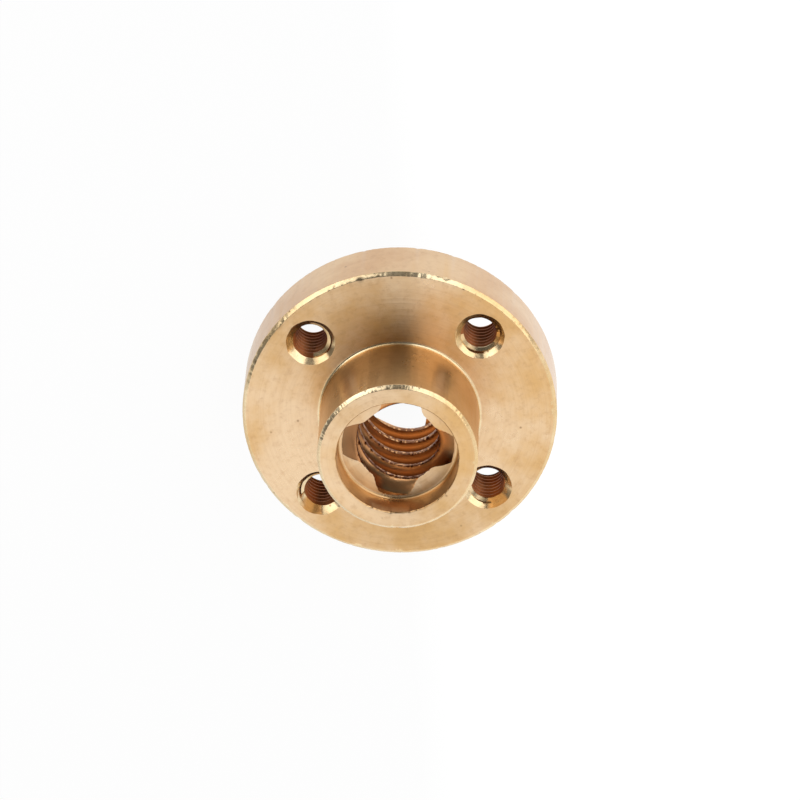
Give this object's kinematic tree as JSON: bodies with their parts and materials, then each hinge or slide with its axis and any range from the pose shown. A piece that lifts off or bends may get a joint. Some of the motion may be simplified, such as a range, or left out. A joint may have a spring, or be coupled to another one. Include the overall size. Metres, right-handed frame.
{
  "type": "lead screw nut",
  "caption": "Round flanged nut with a short hub, a counterbored nose and a steep multi-start trapezoidal thread, tapped for screws through the flange.",
  "frame": {"origin": "centre of the bore at the flange's back face", "axes": "+Z along the bore, towards the hub's nose; +X and +Y lie between the fixing holes"},
  "size_m": [0.0238, 0.0238, 0.0119],
  "materials": {
    "brass": "turned and tumbled, satin, bare"
  },
  "bodies": {
    "root": {"flanged_nut": "brass"}
  },
  "joints": []
}
